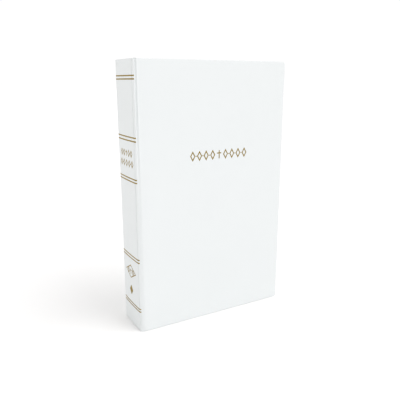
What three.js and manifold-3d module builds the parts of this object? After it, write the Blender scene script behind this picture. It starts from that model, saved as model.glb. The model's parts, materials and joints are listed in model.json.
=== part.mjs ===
// A closed hardcover Bible standing on its tail edge, spine towards -X, front cover towards -Y.
// It is built the way a case-bound book is: twenty-four sewn sections, lined with mull and kraft
// paper, hang inside a case made of two greyboards and a spine inlay under one covering, which
// folds at a groove beside each board. Units are millimetres and +Z is up. The origin is on the
// surface the book stands on, under the middle of its outer box.
import * as THREE from 'three';
import { mergeVertices } from 'three/addons/utils/BufferGeometryUtils.js';
import Module from 'manifold-3d';

const wasm = await Module();
wasm.setup();

// Driving dimensions
const COVER_HEIGHT = 222;
const BOOK_DEPTH = 142.5; // spine face to fore-edge of the boards
const BOOK_THICKNESS = 37.5; // outside of one cover to outside of the other
const SQUARE = 3; // how far the boards stand past the pages at head, tail and fore-edge
const SPINE_STEP = 3.8; // spine face to the spine edge of each board's covering
const CORNER_RADIUS = 3; // fore-edge corners of the boards
const SECTION_COUNT = 24;
const TEXT_THICKNESS = 30; // all the sections together

// Sheet thicknesses
const COVERING = 0.4;
const TURN_IN = 0.25; // the covering, rubbed down thin where it is folded over inside
const BOARD = 2.3;
const INLAY = 0.7;
const MULL = 0.25;
const LINING = 0.25;
const ENDPAPER = 0.2;
const GLUE = 0.1; // clearance kept for the paste between two sheets
const THIN_GLUE = 0.05;

// Widths of what is folded over or glued on
const TURN_IN_WIDTH = 15;
const FLANGE_WIDTH = 25;
const BAND_RADIUS = 0.8;

// The case, from these
const SPINE_X = -BOOK_DEPTH / 2;
const FORE_EDGE_X = BOOK_DEPTH / 2;
const COVER_Y = BOOK_THICKNESS / 2;
const JOINT_END_X = SPINE_X + SPINE_STEP;
const SHOULDER_Y = 18.3; // half the width over the covering's two shoulders
const SHOULDER_WIDTH = 2.7;
const SHOULDER_DEPTH = 1.35;
const SHOULDER_END_X = SPINE_X + 1.95;
const GROOVE_DEPTH = 1.3;
const GROOVE_STEPS = 14;

// The cover's stack, as distances in from the outside of the cover
const BOARD_FROM = COVERING + GLUE;
const BOARD_TO = BOARD_FROM + BOARD;
const TURN_IN_FROM = BOARD_TO + GLUE;
const TURN_IN_TO = TURN_IN_FROM + TURN_IN;
const PASTEDOWN_FROM = TURN_IN_TO + THIN_GLUE;
const PASTEDOWN_TO = PASTEDOWN_FROM + ENDPAPER;
const FLYLEAF_FROM = PASTEDOWN_TO + GLUE;
const FLYLEAF_TO = FLYLEAF_FROM + ENDPAPER;

// The spine's stack, as distances in from the spine face
const INLAY_FROM = COVERING + GLUE;
const INLAY_TO = INLAY_FROM + INLAY;
const SPINE_TURN_IN_FROM = INLAY_TO + THIN_GLUE;
const SPINE_TURN_IN_TO = SPINE_TURN_IN_FROM + TURN_IN;
const LINING_FROM = SPINE_TURN_IN_TO + 0.2; // past the hollow of the back
const LINING_TO = LINING_FROM + LINING;
const MULL_FROM = LINING_TO + THIN_GLUE;
const MULL_TO = MULL_FROM + MULL;
const TEXT_X = SPINE_X + MULL_TO + THIN_GLUE;

// The pages
const PAGE_END_X = FORE_EDGE_X - SQUARE;
const PAGE_FOOT = SQUARE;
const PAGE_HEAD = COVER_HEIGHT - SQUARE;
const SECTION_PITCH = TEXT_THICKNESS / SECTION_COUNT;
const SECTION_GAP = 0.06;

// Where each moving piece turns: all the axes are upright, beside the spine
const HINGE_X = -69.5;
const HINGE_Y = 18.2;
const GROUP_SIZE = 4; // sections that turn together
const GROUP_NAMES = ['outer', 'middle', 'inner'];

const white = { color: 0xf2f4f5, roughness: 0.55, metalness: 0 };
const materials = {
  covering: new THREE.MeshStandardMaterial(white),
  greyboard: new THREE.MeshStandardMaterial({ color: 0x8f8a80, roughness: 0.95, metalness: 0 }),
  card: new THREE.MeshStandardMaterial({ color: 0xb9b2a2, roughness: 0.9, metalness: 0 }),
  kraft: new THREE.MeshStandardMaterial({ color: 0xb08a5c, roughness: 0.9, metalness: 0 }),
  mull: new THREE.MeshStandardMaterial({ color: 0xe6dfcf, roughness: 0.95, metalness: 0 }),
  endpaper: new THREE.MeshStandardMaterial({ color: 0xf4f1e8, roughness: 0.85, metalness: 0 }),
  page: new THREE.MeshStandardMaterial({ color: 0xf3ecd9, roughness: 0.85, metalness: 0 }),
  band: new THREE.MeshStandardMaterial({ color: 0xd9b868, roughness: 0.7, metalness: 0 }),
};

// A box between two opposite corners.
function block([x0, y0, z0], [x1, y1, z1]) {
  const box = new THREE.BoxGeometry(Math.abs(x1 - x0), Math.abs(y1 - y0), Math.abs(z1 - z0));
  return box.translate((x0 + x1) / 2, (y0 + y1) / 2, (z0 + z1) / 2);
}

// An outline in X and Y, pulled upright from z0 to z1.
function upright(shape, z0, z1, curveSegments = 8) {
  const options = { depth: z1 - z0, bevelEnabled: false, steps: 1, curveSegments };
  return new THREE.ExtrudeGeometry(shape, options).translate(0, 0, z0);
}

function asSolid(geometry) {
  const bare = geometry.clone().deleteAttribute('normal').deleteAttribute('uv');
  const merged = mergeVertices(bare);
  const vertProperties = new Float32Array(merged.attributes.position.array);
  const triVerts = new Uint32Array(merged.index.array);
  return new wasm.Manifold(new wasm.Mesh({ numProp: 3, vertProperties, triVerts }));
}

function asGeometry(solid) {
  const { vertProperties, triVerts } = solid.getMesh();
  const geometry = new THREE.BufferGeometry();
  geometry.setAttribute('position', new THREE.BufferAttribute(vertProperties, 3));
  geometry.setIndex(new THREE.BufferAttribute(triVerts, 1));
  geometry.computeVertexNormals();
  return geometry;
}

function cut(body, ...tools) {
  return asGeometry(tools.reduce((solid, tool) => solid.subtract(asSolid(tool)), asSolid(body)));
}

function join(...pieces) {
  return asGeometry(pieces.map(asSolid).reduce((solid, piece) => solid.add(piece)));
}

// Each group stands on the axis that its pieces turn about, and the pieces are given in the
// book's own frame.
function turningGroup(x, y) {
  const group = new THREE.Group();
  group.position.set(x, y, 0);
  return group;
}

function add(group, name, geometry, material) {
  const mesh = new THREE.Mesh(geometry, material);
  mesh.name = name;
  mesh.position.copy(group.position).negate();
  group.add(mesh);
}

// A cover-sized panel lying in X and Z, its two fore-edge corners rounded, between two distances
// in from the outside of the cover. side is -1 for the front and +1 for the back.
function coverPanel(side, spineEdge, inset, radius, from, to) {
  const right = FORE_EDGE_X - inset;
  const bottom = inset;
  const top = COVER_HEIGHT - inset;
  const shape = new THREE.Shape();
  shape.moveTo(spineEdge, bottom);
  shape.lineTo(right - radius, bottom);
  shape.absarc(right - radius, bottom + radius, radius, -Math.PI / 2, 0);
  shape.absarc(right - radius, top - radius, radius, 0, Math.PI / 2);
  shape.lineTo(spineEdge, top);
  const options = { depth: to - from, bevelEnabled: false, steps: 1, curveSegments: 8 };
  const panel = new THREE.ExtrudeGeometry(shape, options).rotateX(Math.PI / 2);
  const outermost = Math.max(side * (COVER_Y - from), side * (COVER_Y - to));
  return panel.translate(0, outermost, 0);
}

// The covering over one board: its outer sheet, folded over the board's head, tail and fore-edge
// and turned in over the inner face. It is open towards the spine, where the joint carries on.
function coverWrap(side) {
  const outside = coverPanel(side, JOINT_END_X, 0, CORNER_RADIUS, 0, TURN_IN_TO);
  const pocketRadius = CORNER_RADIUS - COVERING;
  const pocketStart = JOINT_END_X - 1;
  const pocket = coverPanel(side, pocketStart, COVERING, pocketRadius, COVERING, TURN_IN_FROM);
  const window = block(
    [pocketStart, side * (COVER_Y - TURN_IN_FROM + 0.2), TURN_IN_WIDTH],
    [FORE_EDGE_X - TURN_IN_WIDTH, side * (COVER_Y - TURN_IN_TO - 1), COVER_HEIGHT - TURN_IN_WIDTH],
  );
  return cut(outside, pocket, window);
}

// A sheet glued or lying against the inner face of one cover.
function coverSheet(side, x0, x1, z0, z1, from, to) {
  return block([x0, side * (COVER_Y - from), z0], [x1, side * (COVER_Y - to), z1]);
}

function coverGroup(side, name) {
  const group = turningGroup(HINGE_X, side * HINGE_Y);
  const boardRadius = CORNER_RADIUS - BOARD_FROM;
  const spineEdge = JOINT_END_X + GLUE;
  const board = coverPanel(side, spineEdge, BOARD_FROM, boardRadius, BOARD_FROM, BOARD_TO);
  const flangeFoot = TURN_IN_WIDTH + 1;
  const flange = coverSheet(
    side, spineEdge, spineEdge + FLANGE_WIDTH, flangeFoot, COVER_HEIGHT - flangeFoot,
    TURN_IN_FROM, TURN_IN_TO,
  );
  const pastedown = coverSheet(
    side, spineEdge, PAGE_END_X, PAGE_FOOT, PAGE_HEAD, PASTEDOWN_FROM, PASTEDOWN_TO,
  );
  add(group, `${name}_board`, board, materials.greyboard);
  add(group, `${name}_cover_wrap`, coverWrap(side), materials.covering);
  add(group, `${name}_mull_flange`, flange, materials.mull);
  add(group, `${name}_pastedown`, pastedown, materials.endpaper);
  return group;
}

// The outline of the covering round the spine, from shoulder to shoulder, set in by some
// thickness. Each shoulder is a quarter of an ellipse.
function spineOutline(inset, endX) {
  const face = SPINE_X + inset;
  const shoulderX = SPINE_X + SHOULDER_DEPTH;
  const radiusX = SHOULDER_DEPTH - inset;
  const radiusY = SHOULDER_WIDTH - inset;
  const flat = SHOULDER_Y - SHOULDER_WIDTH;
  const shape = new THREE.Shape();
  shape.moveTo(endX, -SHOULDER_Y + inset);
  shape.lineTo(endX, SHOULDER_Y - inset);
  shape.lineTo(shoulderX, SHOULDER_Y - inset);
  shape.absellipse(shoulderX, flat, radiusX, radiusY, Math.PI / 2, Math.PI);
  shape.lineTo(face, -flat);
  shape.absellipse(shoulderX, -flat, radiusX, radiusY, Math.PI, 1.5 * Math.PI);
  return shape;
}

// The covering over the spine, turned in over the inlay at head and tail, where it also fills the
// shoulders.
function spineWrap() {
  const past = SHOULDER_END_X + 1;
  const legY = SHOULDER_Y - COVERING;
  const flat = SHOULDER_Y - SHOULDER_WIDTH;
  const outside = upright(spineOutline(0, SHOULDER_END_X), 0, COVER_HEIGHT);
  const between = [TURN_IN_WIDTH, COVER_HEIGHT - TURN_IN_WIDTH];
  const hollow = upright(spineOutline(COVERING, past), ...between);
  const inlayPocket = block(
    [SPINE_X + COVERING, -flat, COVERING],
    [SPINE_X + SPINE_TURN_IN_FROM, flat, COVER_HEIGHT - COVERING],
  );
  const mouth = block([SPINE_X + SPINE_TURN_IN_TO, -legY, -1], [past, legY, COVER_HEIGHT + 1]);
  return cut(outside, hollow, inlayPocket, mouth);
}

// The covering in the groove between the shoulder and the board: a strip that dips and comes up
// again. Its outer edge follows a squared sine.
function grooveStrip(side) {
  const x0 = SHOULDER_END_X + THIN_GLUE;
  const x1 = JOINT_END_X - THIN_GLUE;
  const outer = [];
  const inner = [];
  for (let i = 0; i <= GROOVE_STEPS; i += 1) {
    const t = i / GROOVE_STEPS;
    const rise = THREE.MathUtils.lerp(SHOULDER_Y, COVER_Y, t);
    const y = rise - GROOVE_DEPTH * Math.sin(Math.PI * t) ** 2;
    outer.push(new THREE.Vector2(THREE.MathUtils.lerp(x0, x1, t), side * y));
    inner.unshift(new THREE.Vector2(THREE.MathUtils.lerp(x0, x1, t), side * (y - COVERING)));
  }
  return upright(new THREE.Shape([...outer, ...inner]), 0, COVER_HEIGHT);
}

// A bead sewn across the spine end of the pages, on a tape glued down the back of them.
function endBand(zEnd, direction) {
  const halfWidth = TEXT_THICKNESS / 2 - 0.1;
  const tapeX = SPINE_X + MULL_FROM;
  const centre = zEnd + direction * (BAND_RADIUS + GLUE);
  const bead = new THREE.CylinderGeometry(BAND_RADIUS, BAND_RADIUS, 2 * halfWidth, 16);
  bead.translate(tapeX + BAND_RADIUS, 0, centre);
  const tapeEnd = zEnd - direction * 9;
  const tape = block([tapeX, -halfWidth, tapeEnd], [tapeX + MULL, halfWidth, centre]);
  return join(bead, tape);
}

function spineGroup() {
  const group = turningGroup(0, 0);
  const inlayHalf = SHOULDER_Y - SHOULDER_WIDTH - 0.1;
  const inlay = block(
    [SPINE_X + INLAY_FROM, -inlayHalf, BOARD_FROM],
    [SPINE_X + INLAY_TO, inlayHalf, COVER_HEIGHT - BOARD_FROM],
  );
  const liningHalf = TEXT_THICKNESS / 2 - 0.3;
  const lining = block(
    [SPINE_X + LINING_FROM, -liningHalf, PAGE_FOOT + 7],
    [SPINE_X + LINING_TO, liningHalf, PAGE_HEAD - 7],
  );
  const mullHalf = TEXT_THICKNESS / 2 - 0.1;
  const mull = block(
    [SPINE_X + MULL_FROM, -mullHalf, TURN_IN_WIDTH + 1],
    [SPINE_X + MULL_TO, mullHalf, COVER_HEIGHT - TURN_IN_WIDTH - 1],
  );
  add(group, 'spine_wrap', spineWrap(), materials.covering);
  add(group, 'spine_inlay', inlay, materials.card);
  add(group, 'spine_lining', lining, materials.kraft);
  add(group, 'mull', mull, materials.mull);
  add(group, 'head_band', endBand(PAGE_HEAD, 1), materials.band);
  add(group, 'tail_band', endBand(PAGE_FOOT, -1), materials.band);
  add(group, 'front_joint', grooveStrip(-1), materials.covering);
  add(group, 'back_joint', grooveStrip(1), materials.covering);
  return group;
}

function flyleafGroup(side, name) {
  const group = turningGroup(TEXT_X, side * TEXT_THICKNESS / 2);
  const sheet = coverSheet(
    side, TEXT_X + 0.2, PAGE_END_X, PAGE_FOOT, PAGE_HEAD, FLYLEAF_FROM, FLYLEAF_TO,
  );
  add(group, name, sheet, materials.endpaper);
  return group;
}

// One folded and sewn section: a slab of leaves with a round fold towards the spine.
function section(index) {
  const y0 = -TEXT_THICKNESS / 2 + index * SECTION_PITCH + SECTION_GAP / 2;
  const y1 = y0 + SECTION_PITCH - SECTION_GAP;
  const radius = (y1 - y0) / 2;
  const shape = new THREE.Shape();
  shape.moveTo(PAGE_END_X, y0);
  shape.lineTo(PAGE_END_X, y1);
  shape.lineTo(TEXT_X + radius, y1);
  shape.absarc(TEXT_X + radius, y0 + radius, radius, Math.PI / 2, 1.5 * Math.PI);
  return upright(shape, PAGE_FOOT, PAGE_HEAD);
}

// The leaves of one half of the book, in groups that fan open one after another. Each group turns
// about the spine end of its own outermost section.
function leafGroups(side) {
  return GROUP_NAMES.map((_, rank) => {
    const axisY = TEXT_THICKNESS / 2 - rank * GROUP_SIZE * SECTION_PITCH;
    const group = turningGroup(TEXT_X, side * axisY);
    for (let i = 0; i < GROUP_SIZE; i += 1) {
      const fromOutside = rank * GROUP_SIZE + i;
      const index = side < 0 ? fromOutside : SECTION_COUNT - 1 - fromOutside;
      const name = `section_${String(index + 1).padStart(2, '0')}`;
      add(group, name, section(index), materials.page);
    }
    return group;
  });
}

const bible = new THREE.Group();
bible.add(spineGroup());
bible.add(coverGroup(-1, 'front'), coverGroup(1, 'back'));
bible.add(flyleafGroup(-1, 'front_flyleaf'), flyleafGroup(1, 'back_flyleaf'));
bible.add(...leafGroups(-1), ...leafGroups(1));

export default bible;
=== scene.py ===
"""A closed hardcover bible with a white covering and gold foil, on a pale floor.

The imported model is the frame. The covering, endpapers, leaves, bands and foil are surfaces worked
out here, and the boards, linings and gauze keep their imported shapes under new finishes. Lengths
are in metres; x runs from the spine (-x) to the fore-edge, y from the front cover (-y) to the back
cover, and z up from the tail to the head.
"""

import json
import math

import bmesh
import bpy
import numpy as np
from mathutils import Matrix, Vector


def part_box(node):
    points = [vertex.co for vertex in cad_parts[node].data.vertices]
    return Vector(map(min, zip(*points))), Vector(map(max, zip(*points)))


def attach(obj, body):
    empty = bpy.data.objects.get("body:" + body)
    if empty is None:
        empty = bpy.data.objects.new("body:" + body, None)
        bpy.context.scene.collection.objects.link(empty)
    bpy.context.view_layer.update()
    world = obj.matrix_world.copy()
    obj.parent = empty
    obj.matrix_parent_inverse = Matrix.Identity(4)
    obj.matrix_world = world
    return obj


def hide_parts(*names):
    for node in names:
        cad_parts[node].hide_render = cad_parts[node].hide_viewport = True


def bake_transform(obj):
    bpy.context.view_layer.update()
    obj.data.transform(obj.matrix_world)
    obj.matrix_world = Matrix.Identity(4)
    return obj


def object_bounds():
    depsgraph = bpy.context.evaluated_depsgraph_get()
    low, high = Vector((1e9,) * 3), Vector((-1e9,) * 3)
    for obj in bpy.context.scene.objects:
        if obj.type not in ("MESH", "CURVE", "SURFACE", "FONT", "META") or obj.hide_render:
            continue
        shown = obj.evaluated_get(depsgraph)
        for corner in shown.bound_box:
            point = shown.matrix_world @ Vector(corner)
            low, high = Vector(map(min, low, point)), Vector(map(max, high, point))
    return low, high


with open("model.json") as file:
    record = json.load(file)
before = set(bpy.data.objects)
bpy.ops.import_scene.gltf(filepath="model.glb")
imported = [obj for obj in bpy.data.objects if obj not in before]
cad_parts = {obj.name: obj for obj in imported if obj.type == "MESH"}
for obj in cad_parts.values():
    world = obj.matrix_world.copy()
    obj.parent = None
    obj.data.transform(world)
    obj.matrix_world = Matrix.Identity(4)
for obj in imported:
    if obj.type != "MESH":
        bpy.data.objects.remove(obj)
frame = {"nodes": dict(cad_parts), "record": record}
cad_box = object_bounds()

MM = 0.001
LOW, HIGH = (np.array(corner) for corner in cad_box)
SPINE_X, FORE_EDGE_X = LOW[0], HIGH[0]
COVER_Y = HIGH[1]
HEIGHT = HIGH[2]
BOARD_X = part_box("front_cover_wrap")[0].x
COVER_INNER_Y = -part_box("front_cover_wrap")[1].y
COVER_DEPTH = COVER_Y - COVER_INNER_Y
TEXT_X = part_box("section_01")[0].x
PAGE_END_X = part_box("section_01")[1].x
PAGE_FOOT, PAGE_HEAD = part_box("section_01")[0].z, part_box("section_01")[1].z
TEXT_Y = -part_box("section_01")[0].y
SECTIONS = sum(name.startswith("section_") for name in frame["nodes"])
SECTION_PITCH = 2 * TEXT_Y / SECTIONS
LEAVES = 32

# The covering. Towards the spine from COVER_BEND_START its wall swells to the spine's depth.
CORNER_RADIUS = 3 * MM
EDGE_ROUND = 0.75 * MM
TURN_IN_WIDTH = 15 * MM
COVERING_SKIN = 0.3 * MM
SPINE_DEPTH = 1.5 * MM
GROOVE_WALL = 0.9 * MM
SPINE_CROWN = 0.4 * MM
COVER_BEND_START = -69.9 * MM

# The endpapers and leaves. Within BEND_LENGTH of the spine the leaves' and flyleaf's points lie
# closer together.
PAPER = 0.16 * MM
BEND_LENGTH = 22 * MM
LEAF_SCATTER = 0.028 * MM
SECTION_SCATTER = 0.05 * MM
SECTION_SWELL = 0.10 * MM

# The end bands, in threads and stripes along y.
THREAD_PITCH = 0.27 * MM
BAND_STRIPE = 2.2 * MM

# The page printing, in millimetres: the middles of the two columns, half their width and half
# their height, and the pitch of the lines. The rim is the part of a page that counts as its edge.
PAGE_COLUMNS = (TEXT_X / MM + 43, TEXT_X / MM + 97)
COLUMN_HALF = 24.5
PRINT_HALF = 94
LINE_PITCH = 3.1
RIM = 0.3

# The foil stands proud by its rise and goes down to its root, so that no gap shows under it.
FOIL_RISE = 0.03 * MM
FOIL_ROOT = 0.06 * MM
SPINE_LINES = [209.6, 207.1, 163.3, 160.5, 130.5, 128.1, 64.0, 61.5, 20.3, 17.9]
LINE_WIDTH = 1.0 * MM
COVER_STROKE = 0.85 * MM
SPINE_STROKE = 0.80 * MM
SOLID_STROKE = 1.45 * MM

# The studio.
SPINE_SIDE_LIGHT = (0.65, 0.635, 0.61)
FRONT_LIGHT = (0.79, 0.79, 0.79)
BACKDROP_LIGHT = (1.02, 1.02, 1.02)
CAMERA_PLACE = (-0.20379, -0.35323, 0.20533)
CAMERA_TILT, CAMERA_TURN = 75.83, -29.53
LENS, SENSOR_WIDTH = 42.29, 36.0


# Meshes

def piece(name, points, faces, finish, smooth=True):
    """A mesh from an array of points and a list of faces. Each vertex keeps its resting place in
    the attribute "rest", so that a pattern stays on a piece when the piece bends."""
    mesh = bpy.data.meshes.new(name)
    points = np.asarray(points, float).reshape(-1, 3)
    mesh.from_pydata(points.tolist(), [], [list(map(int, f)) for f in faces])
    weld(mesh)
    rest = mesh.attributes.new("rest", "FLOAT_VECTOR", "POINT")
    places = np.zeros(len(mesh.vertices) * 3, np.float32)
    mesh.vertices.foreach_get("co", places)
    rest.data.foreach_set("vector", places)
    mesh.polygons.foreach_set("use_smooth", np.full(len(mesh.polygons), smooth))
    mesh.materials.append(finish)
    obj = bpy.data.objects.new(name, mesh)
    bpy.context.scene.collection.objects.link(obj)
    return obj


def weld(mesh):
    """Joins the points that coincide and turns every face outwards."""
    work = bmesh.new()
    work.from_mesh(mesh)
    bmesh.ops.remove_doubles(work, verts=work.verts, dist=2e-6)
    bmesh.ops.dissolve_degenerate(work, edges=work.edges, dist=1e-7)
    bmesh.ops.recalc_face_normals(work, faces=work.faces)
    work.to_mesh(mesh)
    work.free()


def grid_faces(rows, columns, close_rows=False, close_columns=False, first=0):
    """Quads between the neighbouring points of a grid that is stored row by row."""
    r = np.arange(rows if close_rows else rows - 1)[:, None]
    c = np.arange(columns if close_columns else columns - 1)[None, :]
    r2, c2 = (r + 1) % rows, (c + 1) % columns
    quads = [r * columns + c, r * columns + c2, r2 * columns + c2, r2 * columns + c]
    return np.stack(quads, -1).reshape(-1, 4) + first


def swept(rings, close_path=False, close_profile=True):
    """Faces of a profile carried along a path: rings is path x profile x 3. An open path is
    capped at both ends. An open profile's two long edges are left for other faces to meet."""
    n, m = rings.shape[:2]
    faces = grid_faces(n, m, close_path, close_profile).tolist()
    if not close_path:
        faces += [list(range(m)), list(range((n - 1) * m, n * m))]
    return faces


def spline(points, steps):
    """A curve through a few points: on each span, the Catmull-Rom cubic of its four neighbours."""
    p = np.array(points, float)
    p = np.vstack([2 * p[0] - p[1], p, 2 * p[-1] - p[-2]])
    t = np.arange(steps)[:, None] / steps
    spans = []
    for a, b, c, d in zip(p[:-3], p[1:-2], p[2:-1], p[3:]):
        spans.append(
            0.5 * (2 * b + (c - a) * t + (2 * a - 5 * b + 4 * c - d) * t**2
                   + (3 * b - 3 * c + d - a) * t**3)
        )
    return np.vstack([*spans, p[-2:-1]])


def side_normals(curve):
    """Unit normals of a flat curve, its direction turned a quarter to the left."""
    along = np.gradient(curve, axis=0)
    along /= np.linalg.norm(along, axis=1, keepdims=True)
    return np.stack([-along[:, 1], along[:, 0]], 1)


# Finishes

class Value:
    """One output of a node in a material, with the operators that add Math nodes to it."""

    def __init__(self, finish, socket):
        self.finish, self.socket = finish, socket

    def with_math(self, operation, *others):
        """The output of a Math node that starts with this value."""
        values = dict(enumerate([self, *others]))
        return self.finish.node("ShaderNodeMath", {"operation": operation}, values)

    def __add__(self, other):
        return self.with_math("ADD", other)

    def __sub__(self, other):
        return self.with_math("SUBTRACT", other)

    def __rsub__(self, other):
        return (self * -1.0) + other

    def __mul__(self, other):
        return self.with_math("MULTIPLY", other)

    def __gt__(self, other):
        return self.with_math("GREATER_THAN", other)

    def __lt__(self, other):
        return self.with_math("LESS_THAN", other)

    __radd__, __rmul__ = __add__, __mul__


class Finish:
    """A procedural material being put together, with one Principled surface."""

    def __init__(self, name, on_frame=False, **constants):
        self.material = bpy.data.materials.new(name)
        self.material.use_nodes = True
        self.tree = self.material.node_tree
        self.tree.nodes.clear()
        output = self.tree.nodes.new("ShaderNodeOutputMaterial")
        self.surface = self.tree.nodes.new("ShaderNodeBsdfPrincipled")
        self.tree.links.new(self.surface.outputs[0], output.inputs["Surface"])
        for key, value in constants.items():
            self.surface.inputs[self.socket_name(key)].default_value = value
        if on_frame:
            self.place = self.node("ShaderNodeTexCoord", output="Object")
        else:
            settings = {"attribute_name": "rest"}
            self.place = self.node("ShaderNodeAttribute", settings, output="Vector")

    @staticmethod
    def socket_name(key):
        """A Principled socket's name from a keyword: coat_weight gives Coat Weight."""
        return key.replace("_", " ").title().replace("Ior", "IOR")

    def node(self, kind, settings=None, values=None, output=0):
        """A new node: its settings first, then the values or links of its sockets."""
        made = self.tree.nodes.new(kind)
        for key, setting in (settings or {}).items():
            setattr(made, key, setting)
        for key, value in (values or {}).items():
            if isinstance(value, Value):
                self.tree.links.new(value.socket, made.inputs[key])
            else:
                made.inputs[key].default_value = value
        return Value(self, made.outputs[output])

    def axes(self):
        """The place's x, y and z, in millimetres."""
        scaled = self.node("ShaderNodeVectorMath", {"operation": "SCALE"},
                           {0: self.place, "Scale": 1 / MM})
        values = {0: scaled}
        return [self.node("ShaderNodeSeparateXYZ", None, values, axis) for axis in range(3)]

    def noise(self, size, detail=3.0, stretch=(1, 1, 1), roughness=0.5):
        """Noise from 0 to 1 whose marks are about size millimetres across."""
        stretched = self.node("ShaderNodeMapping", None,
                              {"Vector": self.place, "Scale": [1 / s for s in stretch]})
        values = {"Vector": stretched, "Scale": 1 / (size * MM), "Detail": detail,
                  "Roughness": roughness}
        return self.node("ShaderNodeTexNoise", None, values)

    def wave(self, value, period):
        """A sine of a place along one axis, from 0 to 1, once in each period in millimetres."""
        return (value * (2 * math.pi / period)).with_math("SINE") * 0.5 + 0.5

    def step(self, value, low, high):
        """0 below low, 1 above high, and smooth between them."""
        values = {"Value": value, "From Min": low, "From Max": high}
        return self.node("ShaderNodeMapRange", {"interpolation_type": "SMOOTHSTEP"}, values)

    def mix(self, factor, a, b):
        """Colour a where the factor is 0 and colour b where it is 1."""
        values = {"Factor": factor}
        for key, colour in ((6, a), (7, b)):
            values[key] = colour if isinstance(colour, Value) else (*colour, 1)
        return self.node("ShaderNodeMix", {"data_type": "RGBA"}, values, output=2)

    def set(self, **links):
        """Links values to the surface's sockets."""
        for key, value in links.items():
            self.tree.links.new(value.socket, self.surface.inputs[self.socket_name(key)])
        return self

    def bump(self, height, strength, distance):
        """Relief from a height between 0 and 1. distance is in millimetres."""
        values = {"Height": height, "Strength": strength, "Distance": distance * MM}
        return self.set(normal=self.node("ShaderNodeBump", None, values))


def covering_finish():
    """White coated paper: a very fine pressed grain, a faint cloudiness, and a trace of handling
    at the corners and along the edges."""
    finish = Finish("white_covering", specular_ior_level=0.42, coat_roughness=0.35)
    _, _, z = finish.axes()
    grain = finish.noise(0.55, 4.0)
    cloud = finish.noise(38, 2.0)
    rub = finish.noise(5.0, 5.0, roughness=0.65)
    middle = 0.5 * HEIGHT / MM
    from_end = middle - (z - middle).with_math("ABSOLUTE")
    worn = (1 - finish.step(from_end, 0.1, 1.6)) * finish.step(rub, 0.5, 0.72)
    plain = finish.mix(cloud, (0.776, 0.802, 0.808), (0.792, 0.817, 0.822))
    finish.set(
        base_color=finish.mix(worn * 0.5, plain, (0.76, 0.75, 0.73)),
        roughness=0.43 + grain * 0.12 + worn * 0.15,
        coat_weight=0.10 + cloud * 0.08,
    )
    return finish.bump(grain * 0.7 + cloud * 0.3, 0.10, 0.05).material


def foil_finish():
    """Hot-stamped gold foil: metal with a fine speckle where it takes less well."""
    finish = Finish("gold_foil")
    speckle = finish.noise(0.35, 3.0)
    tone = finish.noise(6.0, 2.0)
    finish.set(
        base_color=finish.mix(tone, (0.245, 0.165, 0.014), (0.325, 0.218, 0.026)),
        metallic=0.88 + speckle * 0.12,
        roughness=0.34 + speckle * 0.22,
    )
    return finish.bump(speckle, 0.15, 0.02).material


def board_finish(name, dark, light, fibre):
    """Pulp board or card: grey or buff with long and short fibres pressed flat."""
    finish = Finish(name, True, specular_ior_level=0.2)
    fibres = finish.noise(fibre, 5.0, stretch=(1, 1, 5), roughness=0.7)
    blot = finish.noise(fibre * 7, 3.0)
    finish.set(
        base_color=finish.mix(fibres * 0.7 + blot * 0.3, dark, light),
        roughness=0.82 + blot * 0.12,
    )
    return finish.bump(fibres, 0.35, 0.08).material


def gauze_finish():
    """Starched open gauze: threads both ways with holes between them, stiff with glue."""
    finish = Finish("mull_gauze", True, specular_ior_level=0.25, roughness=0.8)
    x, y, z = finish.axes()
    sway = finish.noise(6.0, 2.0) * 0.5
    warp = finish.wave(x + y + sway, 0.9)
    weft = finish.wave(z + sway, 0.9)
    thread = warp.with_math("MAXIMUM", weft)
    finish.set(
        base_color=finish.mix(thread, (0.55, 0.48, 0.36), (0.86, 0.82, 0.74)),
        alpha=finish.step(thread, 0.45, 0.62),
    )
    return finish.bump(thread, 0.5, 0.12).material


def endpaper_finish():
    """Heavy uncoated paper: warm white with soft fibres."""
    finish = Finish("endpaper", specular_ior_level=0.25)
    fibres = finish.noise(1.4, 5.0, stretch=(1, 1, 3), roughness=0.65)
    cloud = finish.noise(30, 2.0)
    finish.set(
        base_color=finish.mix(fibres * 0.4 + cloud * 0.6, (0.84, 0.81, 0.74), (0.90, 0.875, 0.81)),
        roughness=0.78 + fibres * 0.12,
    )
    return finish.bump(fibres, 0.12, 0.05).material


def page_finish():
    """Thin cream printing paper. The faces carry two columns of grey bars in place of lines of
    print, and the edges show the leaves as fine streaks along each section."""
    finish = Finish("bible_paper", specular_ior_level=0.25)
    x, _, z = finish.axes()
    streak = finish.noise(0.16, 3.0, stretch=(900, 1, 900))
    sheaf = finish.noise(1.1, 3.0, stretch=(40, 1, 60))
    cloud = finish.noise(24, 2.0)
    paper = finish.mix(cloud, (0.835, 0.80, 0.70), (0.885, 0.855, 0.765))
    shade = finish.step(streak, 0.30, 0.55) * 0.55 + sheaf * 0.45
    leaves = finish.mix(shade, (0.70, 0.665, 0.58), (0.91, 0.89, 0.825))
    middle = 0.5 * (PAGE_HEAD + PAGE_FOOT) / MM
    from_middle = (z - middle).with_math("ABSOLUTE")
    at_end = from_middle > 0.5 * (PAGE_HEAD - PAGE_FOOT) / MM - RIM
    at_fore_edge = x > PAGE_END_X / MM - RIM
    edge = at_end.with_math("MAXIMUM", at_fore_edge)
    left, right = PAGE_COLUMNS
    column = (x - left).with_math("ABSOLUTE").with_math(
        "MINIMUM", (x - right).with_math("ABSOLUTE"))
    inside = (column < COLUMN_HALF) * (from_middle < PRINT_HALF)
    line = finish.wave(z, LINE_PITCH) > 0.52
    words = finish.noise(1.2, 2.0, stretch=(1.5, 60, 0.9)) > 0.40
    printed = finish.mix(inside * line * words * 0.72, paper, (0.13, 0.12, 0.11))
    finish.set(
        base_color=finish.mix(edge, printed, leaves),
        roughness=0.72 + cloud * 0.14,
    )
    return finish.bump(streak * edge + cloud * 0.2, 0.25, 0.05).material


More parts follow.
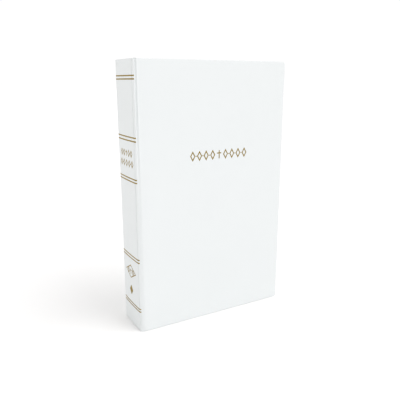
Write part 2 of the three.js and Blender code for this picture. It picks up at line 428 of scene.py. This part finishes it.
def band_finish():
    """Woven end band: white and gold threads wound over a core."""
    finish = Finish("striped_band", specular_ior_level=0.35)
    _, y, _ = finish.axes()
    stripe = finish.step(finish.wave(y, BAND_STRIPE / MM), 0.42, 0.58)
    thread = finish.wave(y + finish.noise(0.6, 2.0) * 0.2, THREAD_PITCH / MM)
    finish.set(
        base_color=finish.mix(stripe, (0.86, 0.84, 0.78), (0.55, 0.40, 0.14)),
        roughness=0.5 + thread * 0.2,
    )
    return finish.bump(thread, 0.6, 0.08).material


def floor_finish():
    """A seamless pale ground with an even tone."""
    finish = Finish("pale_floor", True, specular_ior_level=0.0, roughness=1.0)
    tone = finish.noise(400, 2.0)
    finish.set(base_color=finish.mix(tone, (0.985, 0.98, 0.98), (0.995, 0.99, 0.99)))
    return finish.material


WHITE = covering_finish()
FOIL = foil_finish()
ENDPAPER = endpaper_finish()
PAGES = page_finish()
BAND = band_finish()
UNDER_FINISHES = {
    "greyboard": board_finish("greyboard", (0.24, 0.23, 0.21), (0.44, 0.42, 0.38), 0.7),
    "card": board_finish("inlay_card", (0.42, 0.38, 0.31), (0.60, 0.56, 0.47), 0.6),
    "kraft": board_finish("kraft_lining", (0.36, 0.22, 0.11), (0.58, 0.40, 0.23), 0.5),
    "mull_cloth": gauze_finish(),
}


# The covering

# Half of the covering's section, from the crease beside the spine inlay, over the shoulder,
# through the groove and up onto the board, as x and the depth in from the face of the cover. The
# groove is pressed deep at the head and is a soft roll at the tail.
CREASE = (-69.85, 2.84)
HEAD_SECTION = [
    CREASE, (-70.66, 2.50), (-70.84, 1.95), (-70.76, 1.00), (-70.50, 0.36), (-70.08, 0.06),
    (-69.62, 0.10), (-69.28, 0.60), (-68.98, 0.98), (-68.60, 0.94), (-68.22, 0.48),
    (-67.86, 0.06), (-67.48, 0.00), (-66.70, 0.16), (-63.8, 0.09), (-59.0, 0.0),
]
TAIL_SECTION = [
    CREASE, (-70.62, 2.54), (-70.74, 2.30), (-70.52, 2.10), (-70.20, 1.88), (-69.84, 1.64),
    (-69.45, 1.38), (-69.05, 1.14), (-68.66, 0.93), (-68.26, 0.74), (-67.86, 0.56),
    (-67.45, 0.41), (-66.90, 0.29), (-65.2, 0.15), (-62.8, 0.05), (-59.0, 0.0),
]


def case_section(depth=1.0, points=None):
    """x and depth of the covering's outside from the crease to the flat of the board, or over
    its first few points, for a groove pressed this deeply."""
    head, tail = np.array(HEAD_SECTION[:points]), np.array(TAIL_SECTION[:points])
    return spline(tail + depth * (head - tail), 4) * MM


def pressed(z):
    """How deeply the groove is pressed at a height from the middle: 0 below -12 mm, 1 above
    80 mm, and smooth between them."""
    soft_below, deep_above = -12 * MM, 80 * MM
    t = np.clip((z - soft_below) / (deep_above - soft_below), 0, 1)
    return t * t * (3 - 2 * t)


def on_board(x):
    """0 over the groove, 1 over the board, and even between them."""
    start, length = BOARD_X - 0.6 * MM, 0.9 * MM
    return float(np.clip((x - start) / length, 0, 1))


def wall_depth(x):
    """How thick the case is at x: the wall of the groove, swelling to the board and turn-ins."""
    swell_length = 0.8 * MM
    near_spine = float(np.clip((COVER_BEND_START - x) / swell_length, 0, 1))
    wall = GROOVE_WALL + on_board(x) * (COVER_DEPTH - GROOVE_WALL)
    return wall + near_spine * (SPINE_DEPTH - GROOVE_WALL)


def edge_profile(depth, reach):
    """The covering's run over one edge, as the distance in from the edge and the share of the
    depth, then back on its inner side: across the face, round the outer corner, down the edge,
    round the inner corner, along the turn-in and back. reach is half the height."""
    turn = np.linspace(0, math.pi / 2, 5)[:, None]
    r = EDGE_ROUND
    spread = np.array([1, 0.86, 0.72, 0.58, 0.46, 0.34, 0.24, 0.16, 0.1, 0.055, 0.03, 0.018,
                       0.011])
    face = np.stack([spread * reach, 0 * spread], 1)
    outer = np.hstack([r - r * np.sin(turn), r - r * np.cos(turn)])
    inner = np.hstack([r - r * np.cos(turn), depth - r + r * np.sin(turn)])
    near, part_way, skin = 3 * MM, 8 * MM, COVERING_SKIN
    turned = np.array([[near, depth], [part_way, depth], [TURN_IN_WIDTH, depth]])
    back = np.array([
        [TURN_IN_WIDTH, depth - skin], [part_way, depth - skin], [2 * skin, depth - skin],
        [2 * skin, 2 * skin], [near, 2 * skin], [0.2 * reach, 2 * skin], [reach, 2 * skin],
    ])
    return np.vstack([face, outer, inner, turned, back])


def cover_covering(side):
    """The covering from the crease to the fore-edge, as a profile carried along the cover's
    outline: along the head, round a corner, down the fore-edge, round a corner, back along the
    tail. At a distance d in from the outline the corners' arcs have the radius 3 mm - d, and
    past 3 mm they are mitres, so the face closes on a line half-way up."""
    deep, soft = case_section(1.0), case_section(0.0)
    start_x = deep[-1, 0]
    half = HEIGHT / 2
    edge_x = FORE_EDGE_X - CORNER_RADIUS
    flat = (0.0, 1.0)

    def ring(x, n, wall, up, out):
        """One profile: up and out say how a distance d in from the outline moves z and x."""
        run = edge_profile(wall, half)
        d, inward = run[:, 0], run[:, 1]
        return np.stack([x + out(d) + n[0] * inward, n[1] * inward, up(d)], 1)

    def across(d):
        """d, or the corner's radius where that is more."""
        return np.maximum(d, CORNER_RADIUS)

    def joint_rings(end):
        """The rings over the joint go from the soft roll to the deep groove with height. The
        inner side of the board stays flat, and the thin wall moves as one."""
        rings = []
        for start, other, n in zip(deep, soft, side_normals(deep)):
            board, wall = on_board(start[0]), wall_depth(start[0])
            n = n * (1 - board) + np.array(flat) * board
            one = ring(0.0, n, wall, lambda d: half - d, lambda d: 0 * d)
            outer = 1 - board * edge_profile(wall, half)[:, 1] / wall
            share = (1 - pressed(end * one[:, 2])) * outer
            one[:, :2] += start + share[:, None] * (other - start)
            rings.append(one)
        return rings

    straight, corner, down = [], [], []
    for t in np.linspace(0, 1, 16)[1:]:
        def out(d, t=t):
            return t * (FORE_EDGE_X - across(d) - start_x)
        straight.append(ring(start_x, flat, COVER_DEPTH, lambda d: half - d, out))
    for angle in np.linspace(0, math.pi / 2, 9)[1:]:
        def up(d, a=angle):
            return half - across(d) + np.maximum(CORNER_RADIUS - d, 0) * math.cos(a)

        def out(d, a=angle):
            return CORNER_RADIUS - across(d) + np.maximum(CORNER_RADIUS - d, 0) * math.sin(a)
        corner.append(ring(edge_x, flat, COVER_DEPTH, up, out))
    for t in np.linspace(1, -1, 19)[1:-1]:
        down.append(ring(FORE_EDGE_X, flat, COVER_DEPTH,
                         lambda d, t=t: t * (half - across(d)), lambda d: -d))
    head = np.array(joint_rings(1) + straight + corner)
    tail = np.array(joint_rings(-1) + straight + corner)[::-1] * [1, 1, -1]
    path = np.concatenate([head, np.array(down), tail])
    place = np.stack([path[..., 0], side * (COVER_Y - path[..., 1]), path[..., 2] + half], -1)
    name = "front_covering" if side < 0 else "back_covering"
    obj = piece(name, place, swept(place, close_profile=False), WHITE)
    body = "front_cover" if side < 0 else "back_cover"
    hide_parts(f"{body}_wrap", f"{body.split('_')[0]}_joint")
    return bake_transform(obj)


def spine_half():
    """The outside of the covering from the middle of the spine to the crease, as x and y. It is
    crowned: x moves in as the square of y."""
    crease_x, crease_y = CREASE[0] * MM, -(COVER_Y - CREASE[1] * MM)
    reach = -crease_y
    y = -np.concatenate([np.linspace(0, 0.93, 12), [0.955, 0.972, 0.985]]) * reach
    x = SPINE_X + SPINE_CROWN * (y / reach) ** 2
    return np.vstack([np.stack([x, y], 1), [[crease_x, crease_y]]])


def spine_covering():
    """The covering over the spine from crease to crease: the section carries the same run over
    head and tail as the covers have."""
    half = spine_half()
    section = np.vstack([half[::-1], half[1:] * [1, -1]])
    inward_x = np.abs(side_normals(section)[:, 0])
    inward_x[[0, -1]] = abs(side_normals(case_section())[0, 0])
    middle = HEIGHT / 2
    rings = []
    for (x, y), inward in zip(section, inward_x):
        run = edge_profile(wall_depth(x), middle)
        d, depth = run[:, 0], run[:, 1]
        rings.append(np.stack([x + inward * depth, y + 0 * depth, middle - d], 1))
    head = np.array(rings)
    halves = np.concatenate([head, head[::-1] * [1, 1, -1]]) + [0, 0, middle]
    faces = swept(head, close_profile=False)
    faces += [[i + head[..., 0].size for i in face] for face in faces]
    obj = piece("spine_covering", halves, faces, WHITE)
    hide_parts("spine_wrap")
    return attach(obj, "spine")


# Endpapers and leaves

def paper_sheet(name, path, z0, z1, thickness, finish):
    """A sheet of paper whose section in x and y is a path, carried up from z0 to z1."""
    normal = side_normals(path)
    z = np.linspace(z0, z1, 12)
    loop = np.concatenate([z, z[::-1]])
    sign = np.where(np.arange(len(loop)) < len(z), 0.5, -0.5) * thickness
    flat = path[:, None] + normal[:, None] * sign[None, :, None]
    rings = np.concatenate([flat, np.broadcast_to(loop[None, :, None], (*flat.shape[:2], 1))], -1)
    return piece(name, rings, swept(rings), finish)


def endpaper(side):
    """One folded endpaper as its two leaves, which part at the fold beside the sections: the
    pastedown bends onto the board, and the flyleaf lies on the pages. Both paths are worked out
    in millimetres, and the flyleaf's points lie closer together near the spine."""
    name, body = ("front", "front_cover") if side < 0 else ("back", "back_cover")
    fold = TEXT_X / MM + 0.02
    start = -65.0
    far = np.linspace(start + 2, PAGE_END_X / MM, 30)
    glued = COVER_INNER_Y / MM - 0.13
    down = [(fold, TEXT_Y / MM + 0.10), (-68.5, TEXT_Y / MM + 0.33), (-67.9, glued - 0.02),
            (-67.2, glued), (start, glued)]
    free = [(fold, TEXT_Y / MM + 0.07), (-68.4, TEXT_Y / MM + 0.12), (-66.5, TEXT_Y / MM + 0.14)]
    bend_end = (TEXT_X + BEND_LENGTH) / MM + 1
    span = np.append(np.linspace(start, bend_end, 32)[:-1],
                     np.linspace(bend_end, PAGE_END_X / MM, 20))
    down = np.vstack([spline(down, 6), [(x, glued) for x in far]]) * MM * [1, side]
    free = np.vstack([spline(free, 4), [(x, free[-1][1]) for x in span]]) * MM * [1, side]
    pastedown = paper_sheet(f"{name}_pastedown_leaf", down, PAGE_FOOT, PAGE_HEAD, PAPER, ENDPAPER)
    flyleaf = paper_sheet(f"{name}_flyleaf_leaf", free, PAGE_FOOT, PAGE_HEAD, 0.8 * PAPER,
                          ENDPAPER)
    for obj, node in ((pastedown, f"{name}_pastedown"), (flyleaf, f"{name}_flyleaf")):
        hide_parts(node)
    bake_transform(pastedown)
    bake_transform(flyleaf)


def box_skin(x, y, z, shape):
    """The six sides of a box lattice. shape takes the places of one side's points, as indices
    along x, y and z, and gives where they are."""
    sizes = (len(x), len(y), len(z))
    points, faces = [], []
    for fixed in range(3):
        first, second = [axis for axis in range(3) if axis != fixed]
        for end in (0, sizes[fixed] - 1):
            index = [None, None, None]
            grid = np.meshgrid(np.arange(sizes[first]), np.arange(sizes[second]), indexing="ij")
            index[first], index[second] = grid
            index[fixed] = np.full_like(grid[0], end)
            start = sum(len(p) for p in points)
            faces.append(grid_faces(*grid[0].shape, first=start))
            points.append(shape(*index).reshape(-1, 3))
    return np.concatenate(points), np.concatenate(faces)


def leaf_block(side, name, first_section, count, seed):
    """Some sections as one block. Every leaf is its own step: its head, tail and fore-edge stand
    a little in or out by chance, each section a little more, and each section's fold is half
    round at the spine."""
    chance = np.random.default_rng(seed)
    leaves = count * LEAVES
    pitch = SECTION_PITCH / LEAVES
    start_y = -TEXT_Y + first_section * SECTION_PITCH
    y = start_y + np.repeat(np.arange(leaves + 1), 2)[1:-1] * pitch
    leaf = np.repeat(np.arange(leaves), 2)
    section = leaf // LEAVES
    jitter = chance.normal(0, LEAF_SCATTER, (3, leaves))[:, leaf]
    jitter = jitter + chance.normal(0, SECTION_SCATTER, (3, count))[:, section]
    swell = SECTION_SWELL * np.abs(((leaf % LEAVES) + 0.5) / LEAVES - 0.5) * 2
    near = np.linspace(0.8 * MM, BEND_LENGTH, 15)
    far = np.linspace(BEND_LENGTH, PAGE_END_X - TEXT_X, 8)[1:]
    x = TEXT_X + np.concatenate([[0], near, far])
    z = np.linspace(PAGE_FOOT, PAGE_HEAD, 9)
    across = (y - start_y) / SECTION_PITCH - section - 0.5
    fold = SECTION_PITCH * (0.5 - np.sqrt(np.clip(0.25 - across**2, 0, None)))

    def shape(i, j, k):
        """The places of lattice points, moved only at the fold, head, tail and fore-edge."""
        last_x, last_z = len(x) - 1, len(z) - 1
        place_x = x[i] + np.where(i == last_x, jitter[0][j] - swell[j], 0)
        place_x = place_x + np.where(i == 0, fold[j], 0)
        place_z = z[k] + np.where(k == last_z, jitter[1][j] - 0.5 * swell[j], 0)
        place_z = place_z + np.where(k == 0, -jitter[2][j] + 0.5 * swell[j], 0)
        return np.stack([place_x, y[j], place_z], -1)

    points, faces = box_skin(x, y, z, shape)
    obj = piece(f"{name}_block", points, faces, PAGES, smooth=False)
    nodes = [f"section_{first_section + i + 1:02d}" for i in range(count)]
    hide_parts(*nodes)
    pivot_y = side * max(abs(start_y), abs(start_y + count * SECTION_PITCH))
    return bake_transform(obj)


def all_leaves():
    """The sections of each turning body, in the order they are sewn."""
    bodies = frame["record"]["behaviour"]["bodies"]
    for seed, name in enumerate(sorted(body for body in bodies if body.endswith("_leaves"))):
        numbers = sorted(int(node.split("_")[1]) for node in bodies[name])
        side = -1 if name.startswith("front") else 1
        leaf_block(side, name, numbers[0] - 1, len(numbers), seed)


def end_band(node, out):
    """A band at one end of the spine: a bead of threads wound round a core, its radius a fine
    rectified sine along y, over a flat tape. out is 1 at the head and -1 at the tail."""
    low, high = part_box(node)
    radius = 0.5 * (high.x - low.x)
    centre_x = 0.5 * (high.x + low.x)
    centre_z = high.z - radius if out > 0 else low.z + radius
    length_steps, round_steps = 441, 16
    y = np.linspace(low.y, high.y, length_steps)
    around = np.linspace(0, 2 * math.pi, round_steps + 1)[:-1]
    wound = radius * (0.93 + 0.07 * np.abs(np.sin(math.pi * y / THREAD_PITCH)))
    taper = np.clip((high.y - np.abs(y)) / (0.5 * MM), 0, 1) ** 0.5
    r = (wound * (0.2 + 0.8 * taper))[:, None]
    bead_y = np.broadcast_to(y[:, None], (length_steps, round_steps))
    bead = np.stack([centre_x + r * np.cos(around), bead_y, centre_z + r * np.sin(around)], -1)
    tape_end = low.z if out > 0 else high.z
    tape_x = low.x + 0.2 * MM
    corners = [(low.x, tape_end), (tape_x, tape_end), (tape_x, centre_z), (low.x, centre_z)]
    tape_y = np.linspace(low.y, high.y, 9)
    tape = np.array([[(x, ty, z) for x, z in corners] for ty in tape_y])
    faces = swept(bead)
    offset = bead.shape[0] * bead.shape[1]
    faces += [[i + offset for i in face] for face in swept(tape)]
    points = np.concatenate([bead.reshape(-1, 3), tape.reshape(-1, 3)])
    obj = piece(f"{node}_wound", points, faces, BAND)
    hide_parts(node)
    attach(obj, "spine")


# Foil

def spine_path(height):
    """The outside of the covering from the front shoulder's ridge, over the spine, to the back
    one at a height, as x and y."""
    shoulder = case_section(pressed(height - HEIGHT / 2), 6)
    front = np.stack([shoulder[:, 0], -(COVER_Y - shoulder[:, 1])], 1)[::-1]
    half = spine_half()[::-1]
    path = np.vstack([front[:-1], half])
    return np.vstack([path, path[-2::-1] * [1, -1]])


def spine_line(name, height, width):
    """A foil line over the spine: a thin flat bar that follows the covering at one height."""
    path = spine_path(height)
    out = side_normals(path)
    out *= np.sign(-out[len(out) // 2, 0])
    rise = np.array([-FOIL_ROOT, FOIL_RISE, FOIL_RISE, -FOIL_ROOT])
    up = np.array([-0.5, -0.5, 0.5, 0.5]) * width
    flat = path[:, None] + out[:, None] * rise[None, :, None]
    z = np.broadcast_to((height + up)[None, :, None], (*flat.shape[:2], 1))
    rings = np.concatenate([flat, z], -1)
    obj = piece(name, rings, swept(rings), FOIL, smooth=False)
    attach(obj, "spine")


def stroke(points, width, closed):
    """The two sides of a line of even width through flat points: each point moves out along the
    mean of its neighbours' normals, further where the line turns more sharply."""
    p = np.array(points, float)
    before = np.roll(p, 1, 0) if closed else np.vstack([2 * p[0] - p[1], p[:-1]])
    after = np.roll(p, -1, 0) if closed else np.vstack([p[1:], 2 * p[-1] - p[-2]])

    def normal(d):
        d = d / np.linalg.norm(d, axis=1, keepdims=True)
        return np.stack([-d[:, 1], d[:, 0]], 1)
    n1, n2 = normal(p - before), normal(after - p)
    mean = n1 + n2
    mean /= np.linalg.norm(mean, axis=1, keepdims=True)
    reach = 0.5 * width / np.sum(mean * n1, 1, keepdims=True)
    return p + mean * reach, p - mean * reach


def in_short_steps(line, closed):
    """The same line with points about 1 mm apart, so that it can follow a curved surface."""
    p = np.array(line, float)
    ends = np.roll(p, -1, 0) if closed else p[1:]
    pieces = []
    for a, b in zip(p, ends):
        count = max(1, round(float(np.linalg.norm(b - a))))
        pieces.append(a + (b - a) * np.arange(count)[:, None] / count)
    return np.vstack(pieces if closed else [*pieces, p[-1:]])


def foil_mark(name, strokes, width, place, body):
    """Foil strokes on a surface: place turns flat points and a rise into points in space."""
    points, faces = [], []
    for line, closed in strokes:
        left, right = stroke(in_short_steps(line, closed) * MM, width, closed)
        rings = np.stack([place(left, -FOIL_ROOT), place(left, FOIL_RISE),
                          place(right, FOIL_RISE), place(right, -FOIL_ROOT)], 1)
        start = sum(len(block) for block in points)
        faces += [[i + start for i in face] for face in swept(rings, closed)]
        points.append(rings.reshape(-1, 3))
    obj = piece(name, np.concatenate(points), faces, FOIL, smooth=False)
    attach(obj, body)


def on_front(points, rise):
    """Flat points as x and z on the flat front cover."""
    y = np.full(len(points), -(COVER_Y + rise))
    return np.stack([points[:, 0], y, points[:, 1]], 1)


def on_spine(points, rise):
    """Flat points as y and z on the crowned spine: x moves in as the square of y."""
    reach = COVER_Y - CREASE[1] * MM
    x = SPINE_X + SPINE_CROWN * (points[:, 0] / reach) ** 2 - rise
    return np.stack([x, points[:, 0], points[:, 1]], 1)


def lozenge(x, z, width, height):
    """A closed line through four corners round a centre, in millimetres."""
    half_w, half_h = width / 2, height / 2
    return [(x + half_w, z), (x, z + half_h), (x - half_w, z), (x, z - half_h)], True


def cross(x, z, width, height, line):
    """A plain cross: an upright, and two arms that stop at its sides."""
    arm_z = z + 0.17 * height
    upright = [(x, z - height / 2), (x, z + height / 2)], False
    arms = [([(x + s * line / 2, arm_z), (x + s * width / 2, arm_z)], False) for s in (-1, 1)]
    return [upright, *arms]


def ornament_row(x, z, width, height, line, each_side, loz_width, centre_cross=True):
    """A row of lozenges joined by dashes, the same on both sides of a cross or a lozenge."""
    pitch = (width - loz_width) / 2 / each_side
    strokes = cross(x, z, 0.62 * height, height, line) if centre_cross else [
        lozenge(x, z, loz_width, height)]
    for side in (-1, 1):
        for i in range(1, each_side + 1):
            strokes.append(lozenge(x + side * i * pitch, z, loz_width, height))
        for i in range(1, each_side):
            inner = x + side * (i * pitch + loz_width / 2 + line)
            outer = x + side * ((i + 1) * pitch - loz_width / 2 - line)
            strokes.append(([(inner, z), (outer, z)], False))
    return strokes


def foil():
    """Five pairs of lines and four plain ornaments. Places and sizes are in millimetres."""
    for index, height in enumerate(SPINE_LINES):
        spine_line(f"spine_line_{index + 1:02d}", height * MM, LINE_WIDTH)
    row = ornament_row(4.25, 145.7, width=54.5, height=6.9, line=0.85, each_side=4, loz_width=3.8)
    foil_mark("cover_ornament", row, COVER_STROKE, on_front, "front_cover")
    upper = ornament_row(0, 150.2, width=23, height=4.8, line=0.7, each_side=2, loz_width=3.4)
    lower = ornament_row(0, 142.0, width=25.5, height=4.8, line=0.7, each_side=2, loz_width=3.4,
                         centre_cross=False)
    foil_mark("spine_ornament", upper + lower, SPINE_STROKE, on_spine, "spine")
    frame_line = lozenge(0, 48.8, width=20, height=11)
    inside = ornament_row(0, 48.8, width=12, height=5.0, line=0.8, each_side=1, loz_width=2.8)
    foil_mark("spine_framed_cross", [frame_line, *inside], SPINE_STROKE, on_spine, "spine")
    solid = [lozenge(0, 32.0, width=5.2, height=6.6), lozenge(0, 32.0, width=1.8, height=2.4)]
    foil_mark("spine_lozenge", solid, SOLID_STROKE, on_spine, "spine")


def refinish_hidden_parts():
    """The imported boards, card, kraft and gauze get their finishes."""
    slots = {part["node"]: part["material_slot"] for part in frame["record"]["subparts"]}
    for name, node in frame["nodes"].items():
        finish = UNDER_FINISHES.get(slots[name])
        if finish is not None:
            node.data.materials.clear()
            node.data.materials.append(finish)


spine_covering()
for side in (-1, 1):
    cover_covering(side)
    endpaper(side)
all_leaves()
end_band("head_band", 1)
end_band("tail_band", -1)
foil()
refinish_hidden_parts()


# The floor, the light and the camera

def floor():
    """A wide flat sheet under the book."""
    gx, gy = np.meshgrid(np.linspace(-12, 12, 9), np.linspace(-6, 20, 9))
    place = np.stack([gx, gy, 0 * gx], -1)
    piece("floor", place, grid_faces(*gx.shape), floor_finish())


def soft_sun(turn, rise, spread, strength):
    """A wide, far light. turn is its direction round from +x towards +y, rise its height."""
    data = bpy.data.lights.new("soft_light", "SUN")
    data.angle, data.energy = math.radians(spread), strength
    obj = bpy.data.objects.new("soft_light", data)
    level = math.cos(math.radians(rise))
    towards = Vector((level * math.cos(math.radians(turn)), level * math.sin(math.radians(turn)),
                      math.sin(math.radians(rise))))
    obj.rotation_euler = towards.to_track_quat("Z", "Y").to_euler()
    bpy.context.scene.collection.objects.link(obj)


def studio():
    """An even white surround: a bright backdrop and horizon, a little less light from above in
    front, a warmer and dimmer side towards the spine, and one soft light at the front."""
    world = bpy.data.worlds.new("studio")
    bpy.context.scene.world = world
    world.use_nodes = True
    nodes, links = world.node_tree.nodes, world.node_tree.links
    direction = nodes.new("ShaderNodeTexCoord")
    split = nodes.new("ShaderNodeSeparateXYZ")
    links.new(direction.outputs["Generated"], split.inputs[0])

    def graded(axis, low, high, below, above):
        """One colour below a place on an axis of the direction, another above, smooth between."""
        place = nodes.new("ShaderNodeMapRange")
        place.interpolation_type = "SMOOTHSTEP"
        place.inputs["From Min"].default_value = low
        place.inputs["From Max"].default_value = high
        links.new(split.outputs[axis], place.inputs["Value"])
        mix = nodes.new("ShaderNodeMix")
        mix.data_type = "RGBA"
        links.new(place.outputs["Result"], mix.inputs["Factor"])
        for index, colour in ((6, below), (7, above)):
            if isinstance(colour, tuple):
                mix.inputs[index].default_value = (*colour, 1)
            else:
                links.new(colour, mix.inputs[index])
        return mix.outputs[2]

    front = graded("X", -0.9, 0.3, SPINE_SIDE_LIGHT, FRONT_LIGHT)
    upper = graded("Y", 0.1, 0.5, front, BACKDROP_LIGHT)
    whole = graded("Z", 0.12, 0.5, BACKDROP_LIGHT, upper)
    links.new(whole, nodes["Background"].inputs["Color"])
    soft_sun(turn=-48, rise=52, spread=46, strength=1.07)
    bpy.context.scene.view_settings.view_transform = "Standard"


def camera():
    """A camera in front of the book and to the spine's side, near the height of its head."""
    data = bpy.data.cameras.new("camera")
    data.lens, data.sensor_width = LENS, SENSOR_WIDTH
    obj = bpy.data.objects.new("camera", data)
    bpy.context.scene.collection.objects.link(obj)
    obj.location = CAMERA_PLACE
    obj.rotation_euler = (math.radians(CAMERA_TILT), 0, math.radians(CAMERA_TURN))
    bpy.context.scene.camera = obj


floor()
studio()
camera()
